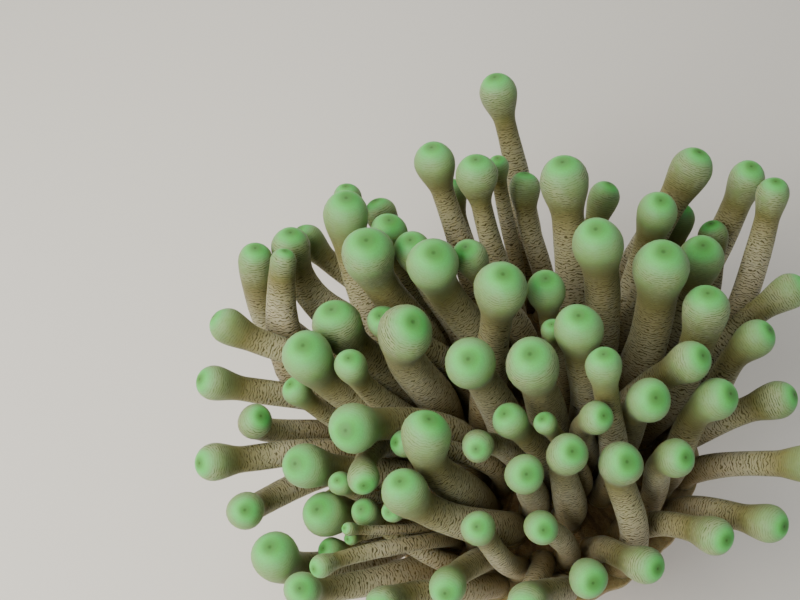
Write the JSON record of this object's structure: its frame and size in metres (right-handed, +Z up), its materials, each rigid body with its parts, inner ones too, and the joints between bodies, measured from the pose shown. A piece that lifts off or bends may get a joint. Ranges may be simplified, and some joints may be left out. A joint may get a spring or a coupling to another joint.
{
  "type": "sea anemone model",
  "caption": "Life-size still model of a green-tipped giant Caribbean sea anemone: foot, smooth column, oral disc with its mouth, and a full crown of club-tipped tentacles.",
  "frame": {"origin": "centre of the foot's flat sole", "axes": "+Z up along the column to the mouth, -Y towards the side the crown's face leans to"},
  "size_m": [0.2053, 0.2011, 0.141],
  "materials": {
    "tentacle": "moist translucent flesh, green at the club tips, grey-brown and finely wrinkled on the stems",
    "margin": "moist translucent flesh with the small outer tentacles",
    "disc": "moist olive-brown flesh",
    "mouth": "moist pale lips",
    "column": "moist smooth tan flesh"
  },
  "bodies": {
    "root": {"pedal_disc": "column", "column": "column", "oral_disc": "disc", "mouth": "mouth", "margin_right": "margin", "margin_back": "margin", "margin_left": "margin", "margin_front": "margin", "tentacle_01": "tentacle", "tentacle_02": "tentacle", "tentacle_03": "tentacle", "tentacle_04": "tentacle", "tentacle_05": "tentacle", "tentacle_06": "tentacle", "tentacle_07": "tentacle", "tentacle_08": "tentacle", "tentacle_09": "tentacle", "tentacle_10": "tentacle", "tentacle_11": "tentacle", "tentacle_12": "tentacle", "tentacle_13": "tentacle", "tentacle_14": "tentacle", "tentacle_15": "tentacle", "tentacle_16": "tentacle", "tentacle_17": "tentacle", "tentacle_18": "tentacle", "tentacle_19": "tentacle", "tentacle_20": "tentacle", "tentacle_21": "tentacle", "tentacle_22": "tentacle", "tentacle_23": "tentacle", "tentacle_24": "tentacle", "tentacle_25": "tentacle", "tentacle_26": "tentacle", "tentacle_27": "tentacle", "tentacle_28": "tentacle", "tentacle_29": "tentacle", "tentacle_30": "tentacle", "tentacle_31": "tentacle", "tentacle_32": "tentacle", "tentacle_33": "tentacle", "tentacle_34": "tentacle", "tentacle_35": "tentacle", "tentacle_36": "tentacle", "tentacle_37": "tentacle", "tentacle_38": "tentacle", "tentacle_39": "tentacle", "tentacle_40": "tentacle", "tentacle_41": "tentacle", "tentacle_42": "tentacle", "tentacle_43": "tentacle", "tentacle_44": "tentacle", "tentacle_45": "tentacle", "tentacle_46": "tentacle", "tentacle_47": "tentacle", "tentacle_48": "tentacle", "tentacle_49": "tentacle", "tentacle_50": "tentacle", "tentacle_51": "tentacle", "tentacle_52": "tentacle"}
  },
  "joints": []
}
